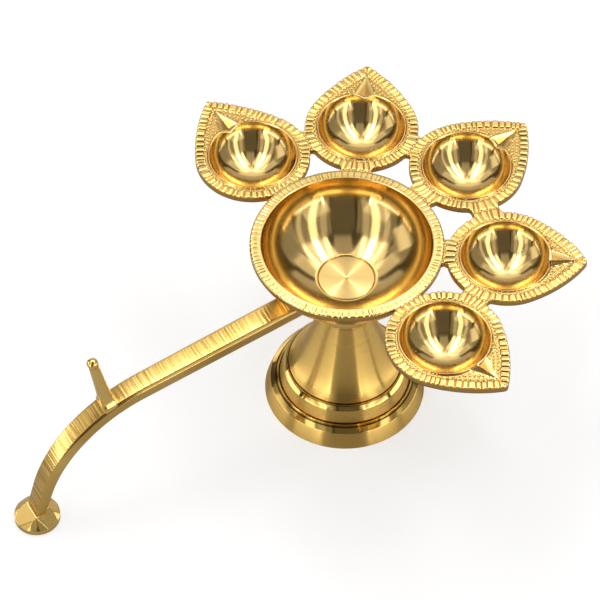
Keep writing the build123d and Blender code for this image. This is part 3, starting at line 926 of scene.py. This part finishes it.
def filed_bar(name):
    """Brass filed straight across: lines from noise that runs along the bar and
    hardly changes across it, in two widths, darker in the cuts. The bevels and
    sides keep a plain surface with an uneven tone."""
    shader = Shader(name)
    place = shader.node("TexCoord", None, None, "Object")
    run = shader.node("Attribute", {"attribute_name": "run"}, None, "Fac")
    y = shader.node("SeparateXYZ", None, {0: place}, "Y")
    line_place = shader.node("CombineXYZ", None, {"X": run, "Y": y * 0.015})
    fine = shader.noise(line_place, 1500.0, 1.0)
    broad = shader.noise(line_place, 800.0, 1.0)
    drift = shader.noise(place, 50.0, 2.0)
    inside = shader.node(
        "MapRange",
        {"interpolation_type": "SMOOTHSTEP"},
        {"Value": y.math("ABSOLUTE", y), "From Min": 3.5 * MM, "From Max": 2.7 * MM},
    )
    height = (fine * 0.55 + broad - 0.775) * inside
    normal = shader.node(
        "Bump", None, {"Height": height, "Strength": 1.0, "Distance": 0.15 * MM}, "Normal"
    )
    cuts = (fine + broad - 1.0) * inside
    tone = shader.mix(cuts * 2.2 + drift, (0.48, 0.27, 0.055, 1), (0.93, 0.63, 0.20, 1))
    return shader.brass(tone, 0.17 + broad * 0.10, normal)


bar.data.materials.append(filed_bar("filed bar brass"))
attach(bar, "top")
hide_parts("handle_bar")

# Braze at the handle's root: a thin uneven fillet round the bar where it meets
# the bowl's underside.
FILLET = 0.75


def fillet_surface(section, chance):
    """A ring of braze of uneven thickness round the line where the bar's section
    meets the bowl: at each place a circle across that line, scaled at random."""
    middle, above = bar_line(root_run(section[:, 0], section[:, 1], 0.0))
    spot = middle + above * section[:, :1]
    line = np.stack([spot[:, 0], section[:, 1], spot[:, 1]], axis=-1)
    ahead = np.roll(line, -1, axis=0) - np.roll(line, 1, axis=0)
    ahead = ahead / np.linalg.norm(ahead, axis=1, keepdims=True)
    outward = line - line.mean(axis=0)
    outward = outward - ahead * np.sum(outward * ahead, axis=1, keepdims=True)
    outward = outward / np.linalg.norm(outward, axis=1, keepdims=True)
    across = np.cross(ahead, outward)
    turn = np.linspace(0, 2 * np.pi, 12, endpoint=False)[None, :, None]
    size = FILLET * (0.8 + 0.3 * chance.random((len(line), 1, 1)))
    return line[:, None] + size * (np.cos(turn) * outward[:, None] + np.sin(turn) * across[:, None])


fillet_points = fillet_surface(root_outline, np.random.default_rng(61))
fillet = surface("handle_braze_fillet", fillet_points, sharp_deg=80)
fillet.data.materials.append(chased)
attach(fillet, "top")
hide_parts("handle_braze")

# Thumb peg: a filed square shank on a flared base that saddles the bar, leaning
# out from the bowl, with a rounded end for the thumb.
PEG_FOOT = np.array([-92.1, 0.0, 47.126])
PEG_LEAN = np.radians(10.0)
PEG_BALL = 1.9
PEG_BALL_HEIGHT = 23.5
PEG_ROWS = (
    # height on the peg, half length along the bar, half width across it
    (-1.2, 2.8, 3.75),
    (0.5, 2.8, 3.9),
    (1.5, 2.6, 3.2),
    (3.0, 2.35, 2.45),
    (4.8, 2.22, 2.0),
    (7.0, 2.14, 1.78),
    (12.0, 1.98, 1.62),
    (18.0, 1.80, 1.48),
    (21.5, 1.70, 1.42),
)


def peg_surface():
    """Rounded square sections stacked along the leaning peg; the last ones swell
    into a ball, and the section's corners soften until they are round."""
    rows = np.array(PEG_ROWS)
    shank = np.linspace(rows[0, 0], rows[-1, 0], 64)
    blur = np.ones(5) / 5
    length = np.pad(np.interp(shank, rows[:, 0], rows[:, 1]), 2, "edge")
    length = np.convolve(length, blur, "valid")
    width = np.pad(np.interp(shank, rows[:, 0], rows[:, 2]), 2, "edge")
    width = np.convolve(width, blur, "valid")
    rise = np.radians(np.linspace(-38, 90, 22))
    ball = PEG_BALL * np.cos(rise)
    height = np.concatenate([[rows[0, 0]], shank, PEG_BALL_HEIGHT + PEG_BALL * np.sin(rise)])
    length = np.concatenate([[0], length, ball])
    width = np.concatenate([[0], width, ball])
    power = np.concatenate([[6], np.linspace(7, 3, len(shank)), np.linspace(3, 2, len(rise))])[:, None]
    turn = np.linspace(0, 2 * np.pi, 64, endpoint=False)[None]
    corner = (np.abs(np.cos(turn)) ** power + np.abs(np.sin(turn)) ** power) ** (-1 / power)
    x = length[:, None] * corner * np.cos(turn)
    y = width[:, None] * corner * np.sin(turn)
    z = np.broadcast_to(height[:, None], x.shape)
    ahead = np.array([np.cos(PEG_LEAN), 0, np.sin(PEG_LEAN)])
    above = np.array([-np.sin(PEG_LEAN), 0, np.cos(PEG_LEAN)])
    return PEG_FOOT + x[..., None] * ahead + y[..., None] * np.array([0, 1.0, 0]) + z[..., None] * above


def filed_brass(name, stretch):
    """Brass filed and rubbed one way: noise stretched along the strokes, with a
    slow change of tone and gloss."""
    shader = Shader(name)
    place = shader.node("TexCoord", None, None, "Object")
    stroke = shader.node("Mapping", {"vector_type": "POINT"}, {"Vector": place, "Scale": stretch})
    fine = shader.noise(stroke, 1600.0, 2.0)
    drift = shader.noise(place, 120.0, 2.0)
    normal = shader.node(
        "Bump", None, {"Height": fine + drift * 0.6, "Strength": 0.5, "Distance": 0.02 * MM}, "Normal"
    )
    tone = shader.mix(drift, (0.80, 0.53, 0.155, 1), (0.91, 0.63, 0.215, 1))
    return shader.brass(tone, 0.13 + fine * 0.12, normal)


peg = surface("thumb_peg_filed", peg_surface(), close_u=False, sharp_deg=60)
peg.data.materials.append(filed_brass("peg brass", (1.0, 1.0, 0.12)))
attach(peg, "top")
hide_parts("thumb_peg")

# Handle foot: a low brass disc riveted and brazed on the leg's end. Its top is
# filed by hand into flats of different widths, and its wall is turned.
FOOT_X = -121.226
FOOT_RADIUS = 7.9
FOOT_WALL = 2.3
FOOT_TOP = 5.6
FOOT_STEPS = 360
FOOT_EDGE = 0.12
FOOT_FLATS = (
    # bearing of the flat, slope, distance of its lower edge from the axis
    (180, 31, 7.75),
    (-152, 43, 7.7),
    (-138, 47, 7.8),
    (-125, 46, 7.75),
    (-112, 48, 7.8),
    (-99, 45, 7.75),
    (-70, 37, 7.6),
    (-42, 45, 7.8),
    (-15, 42, 7.7),
    (15, 45, 7.8),
    (45, 41, 7.7),
    (75, 45, 7.8),
    (105, 42, 7.7),
    (135, 45, 7.8),
    (158, 44, 7.8),
)


def foot_surface():
    """Top of the foot over rings and bearings: the lowest of the filed planes and
    the level top, above a wall that is a little uneven, and a flat underside."""
    turn = np.linspace(0, 2 * np.pi, FOOT_STEPS, endpoint=False)
    radius = np.linspace(0, FOOT_RADIUS - FOOT_EDGE, 44)
    flats = np.array(FOOT_FLATS, float)
    bearing = np.radians(flats[:, 0])[:, None, None]
    reach = radius[None, None] * np.cos(turn[None, :, None] - bearing)
    slope = np.tan(np.radians(flats[:, 1]))[:, None, None]
    planes = FOOT_WALL + (flats[:, 2][:, None, None] - reach) * slope
    top = np.minimum(planes.min(axis=0), FOOT_TOP)
    top = np.maximum(top, FOOT_WALL - 0.5)
    edge = top[:, -1:]
    wall_radius = np.array([FOOT_RADIUS, FOOT_RADIUS, FOOT_RADIUS - 0.3, 0.0])
    level = np.zeros_like(edge)
    wall_height = np.concatenate([edge - FOOT_EDGE, level + 0.3, level, level], axis=1)
    rings = np.concatenate([radius, wall_radius])
    height = np.concatenate([top, wall_height], axis=1)
    x = FOOT_X + rings[None] * np.cos(turn)[:, None]
    y = rings[None] * np.sin(turn)[:, None]
    return np.stack([x, y, height], axis=-1)


foot = surface("handle_foot_filed", foot_surface(), close_v=False, sharp_deg=18)
foot.data.materials.append(filed_brass("foot brass", (1.0, 0.08, 1.0)))
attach(foot, "top")
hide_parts("handle_foot")

# Studio: a pale floor, a camera at the photograph's angle, overhead strips in a
# fan with a dim gap in its middle, panels all round that the flat and upright
# faces mirror, and a dim room.
FLOOR_GREY = 0.44
FLOOR_LIFT = 0.63
FLOOR_IN_METAL = 0.1
floor_mesh = bpy.data.meshes.new("floor")
floor_mesh.from_pydata([(-6, -6, 0), (6, -6, 0), (6, 6, 0), (-6, 6, 0)], [], [(0, 1, 2, 3)])
floor = bpy.data.objects.new("floor", floor_mesh)
bpy.context.scene.collection.objects.link(floor)
floor_shader = Shader("pale floor")
seen = floor_shader.node("LightPath", None, None, "Is Camera Ray")
glossy = floor_shader.node("LightPath", None, None, "Is Glossy Ray")
through = floor_shader.node("LightPath", None, None, "Is Transmission Ray")
shown = seen + through + glossy * FLOOR_IN_METAL
paper = floor_shader.node("BsdfDiffuse", None, {"Color": (FLOOR_GREY, FLOOR_GREY, FLOOR_GREY, 1)})
white = floor_shader.node("Emission", None, {"Color": (1, 1, 1, 1), "Strength": 1.0})
lift = floor_shader.node("MixShader", None, {0: shown * FLOOR_LIFT, 2: white})
sheet = floor_shader.node("AddShader", None, {0: paper, 1: lift})
floor_shader.node("OutputMaterial", None, {"Surface": sheet})
floor_mesh.materials.append(floor_shader.material)

AZIMUTH = np.radians(-28.458)
ELEVATION = np.radians(50.524)
DISTANCE = 1.1172
TARGET = np.array([-0.01063, 0.01376, 0.03926])
FOCAL_PIXELS = 3201.7
IMAGE_PIXELS = 600
SENSOR = 36.0
right = np.array([np.cos(AZIMUTH), np.sin(AZIMUTH), 0])
far = np.array([-np.sin(AZIMUTH), np.cos(AZIMUTH), 0])
up = np.array([0, 0, 1.0])
back = -far * np.cos(ELEVATION) + up * np.sin(ELEVATION)


def aim(thing, spot, target, along):
    """Places a light or the camera so that it faces a target, with its long side
    as near as may be to a given direction."""
    behind = (spot - target) / np.linalg.norm(spot - target)
    tall = along - behind * (along @ behind)
    tall = tall / np.linalg.norm(tall)
    turn = np.stack([np.cross(tall, behind), tall, behind], axis=-1)
    placed = np.eye(4)
    placed[:3, :3] = turn
    placed[:3, 3] = spot
    thing.matrix_world = Matrix(placed.tolist())
    bpy.context.scene.collection.objects.link(thing)


camera_data = bpy.data.cameras.new("camera")
camera_data.sensor_width = SENSOR
camera_data.lens = FOCAL_PIXELS / IMAGE_PIXELS * SENSOR
camera_data.clip_start = 0.05
camera_data.clip_end = 50
camera = bpy.data.objects.new("camera", camera_data)
aim(camera, TARGET + back * DISTANCE, TARGET, up)
bpy.context.scene.camera = camera


def softbox(name, side, away, height, along, width, length, radiance):
    """A rectangular light placed to the right of the object's axis, away from the
    camera and above the floor, facing the object. Its power is its radiance
    times pi times its area."""
    data = bpy.data.lights.new(name, "AREA")
    data.shape = "RECTANGLE"
    data.size = width
    data.size_y = length
    data.energy = radiance * np.pi * width * length
    lamp = bpy.data.objects.new(name, data)
    spot = right * side + far * away + up * height
    heading = right * along[0] + far * along[1] + up * along[2]
    aim(lamp, spot, np.array([0, 0, 0.06]), heading)


MIRROR = 0.824
CEILING = 1.2
STRIP_ENDS = (0.2, 0.5, 1.2, 3.4)


def strip(name, streak, reach, width, length, radiance):
    """A long overhead softbox on a line through the point that level metal mirrors
    to the camera, turned by the bearing of the streak that it draws in the bowl."""
    heading = (np.sin(np.radians(streak)), -np.cos(np.radians(streak)), 0)
    side = heading[0] * reach
    away = MIRROR * CEILING + heading[1] * reach
    softbox(name, side, away, CEILING, heading, width, length, radiance)


for streak, spread, levels in (
    # bearing of the streak, half its angle, radiance of its near, middle and outer part
    (-30, 21, (1.1, 1.05, 0.17)),
    (-17, 3, (0.4, 1.4, 0.27)),
    (-27, 4, (1.0, 8.5, 1.3)),
    (-41, 3, (0.4, 1.2, 0.4)),
    (-75, 14, (0.6, 0.6, 0.22)),
    (4, 11, (0.9, 0.34, 0.06)),
    (35, 20, (1.1, 1.05, 0.17)),
    (21, 3, (0.4, 1.4, 0.27)),
    (33, 4, (1.0, 8.5, 1.3)),
    (52, 3, (0.5, 2.0, 0.45)),
    (77, 14, (0.6, 0.6, 0.22)),
):
    for first, last, radiance in zip(STRIP_ENDS[:-1], STRIP_ENDS[1:], levels):
        width = (first + last) * np.tan(np.radians(spread))
        strip(f"overhead {streak} {first}", streak, (first + last) / 2, width, last - first, radiance)
# Panels: metres to the right, away and up, way the long side runs, width, length, radiance
softbox("mirror panel", 0.0, MIRROR * CEILING, CEILING, (1, 0, 0), 0.5, 1.1, 0.9)
softbox("far panel", 0.0, 1.35, 0.86, (1, 0, 0), 0.5, 2.6, 0.42)
softbox("far low", 0.0, 1.42, 0.2, (1, 0, 0), 0.36, 2.4, 1.3)
softbox("left mid", -1.25, 0.1, 0.72, (0, 0, 1), 0.7, 0.5, 0.7)
for hand in (-1, 1):
    softbox("low front", hand * 1.05, -0.9, 0.19, (0, 0, 1), 1.0, 0.34, 3.2)
    softbox("low side", hand * 1.4, 0.12, 0.19, (0, 0, 1), 1.0, 0.34, 2.8)
    softbox("front", hand * 0.85, -0.9, 0.75, (0, 0, 1), 0.8, 0.55, 0.45)
    softbox("front edge", hand * 0.70, -1.21, 0.3, (0, 0, 1), 0.07, 0.56, 3.5)

world = bpy.data.worlds.new("studio room")
world.use_nodes = True
bpy.context.scene.world = world
world.node_tree.nodes["Background"].inputs["Color"].default_value = (0.55, 0.50, 0.42, 1)
world.node_tree.nodes["Background"].inputs["Strength"].default_value = 0.1
bpy.context.scene.view_settings.view_transform = "Standard"
